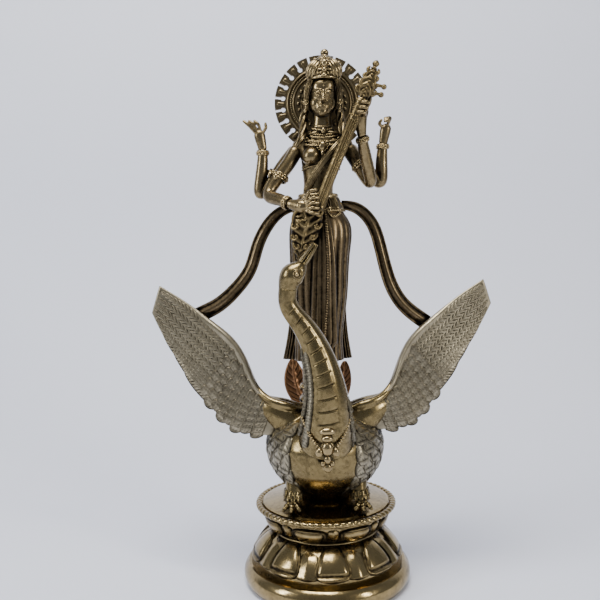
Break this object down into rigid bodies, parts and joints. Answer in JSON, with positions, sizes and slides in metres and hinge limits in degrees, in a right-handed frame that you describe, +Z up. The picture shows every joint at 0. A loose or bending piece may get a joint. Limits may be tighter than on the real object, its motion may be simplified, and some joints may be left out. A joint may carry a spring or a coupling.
{
  "type": "hindu deity statue",
  "caption": "Cast brass figurine: a four-armed goddess with a lute stands on the back of a swan with raised wings, above a round double-lotus base",
  "frame": {"origin": "centre of the flat underside of the base, on the surface that the statue stands on", "axes": "+Z up through the crown, -Y towards the viewer as the swan and the goddess face, +X to the goddess's left"},
  "size_m": [0.1955, 0.0982, 0.303],
  "materials": {
    "base_brass": "cast brass, polished on the swellings, dark in the recesses",
    "wing_brass": "cast brass, engraved feathers with dark lines, satin and slightly silvery",
    "swan_brass": "cast brass, polished smooth with olive brown patina in the chasing",
    "drapery_brass": "cast brass, brown patina with bright worn ridges",
    "lute_brass": "cast brass, carved, dark in the cuts",
    "halo_brass": "cast brass, pierced and chased, dark behind the rings",
    "ornament_brass": "cast brass, bright beads and bands",
    "figure_brass": "cast brass, polished skin with brown patina in the folds"
  },
  "bodies": {
    "root": {"armlets": "ornament_brass", "base_beaded_rim": "base_brass", "base_bottom_plate": "base_brass", "base_deck": "base_brass", "base_foot_ring": "base_brass", "base_lower_lotus": "base_brass", "base_upper_lotus": "base_brass", "bracelets": "ornament_brass", "crown": "ornament_brass", "crown_dome": "ornament_brass", "crown_finial": "ornament_brass", "crown_jewel": "ornament_brass", "earrings": "ornament_brass", "figure_belt": "drapery_brass", "figure_front_sash": "drapery_brass", "figure_hair": "figure_brass", "figure_head": "figure_brass", "figure_skirt": "drapery_brass", "figure_skirt_train": "drapery_brass", "figure_torso": "figure_brass", "hair_locks": "figure_brass", "halo": "halo_brass", "halo_beads": "halo_brass", "halo_bracket": "halo_brass", "halo_rivets": "halo_brass", "left_anklet": "ornament_brass", "left_foot": "figure_brass", "left_front_arm": "figure_brass", "left_front_hand": "figure_brass", "left_rear_arm": "figure_brass", "left_rear_hand": "figure_brass", "left_scarf": "drapery_brass", "lute_bowl": "lute_brass", "lute_finial": "lute_brass", "lute_head": "lute_brass", "lute_neck": "lute_brass", "lute_pegs": "lute_brass", "lute_strings": "lute_brass", "necklace": "ornament_brass", "right_anklet": "ornament_brass", "right_foot": "figure_brass", "right_front_arm": "figure_brass", "right_front_hand": "figure_brass", "right_rear_arm": "figure_brass", "right_rear_hand": "figure_brass", "right_scarf": "drapery_brass", "shoulder_dowels": "figure_brass", "swan_body": "swan_brass", "swan_breast_pendant": "swan_brass", "swan_eyes": "swan_brass", "swan_head": "swan_brass", "swan_left_leg": "swan_brass", "swan_left_wing": "wing_brass", "swan_lower_beak": "swan_brass", "swan_neck": "swan_brass", "swan_right_leg": "swan_brass", "swan_right_wing": "wing_brass", "swan_tail": "swan_brass", "swan_upper_beak": "swan_brass", "wing_dowels": "swan_brass"}
  },
  "joints": []
}
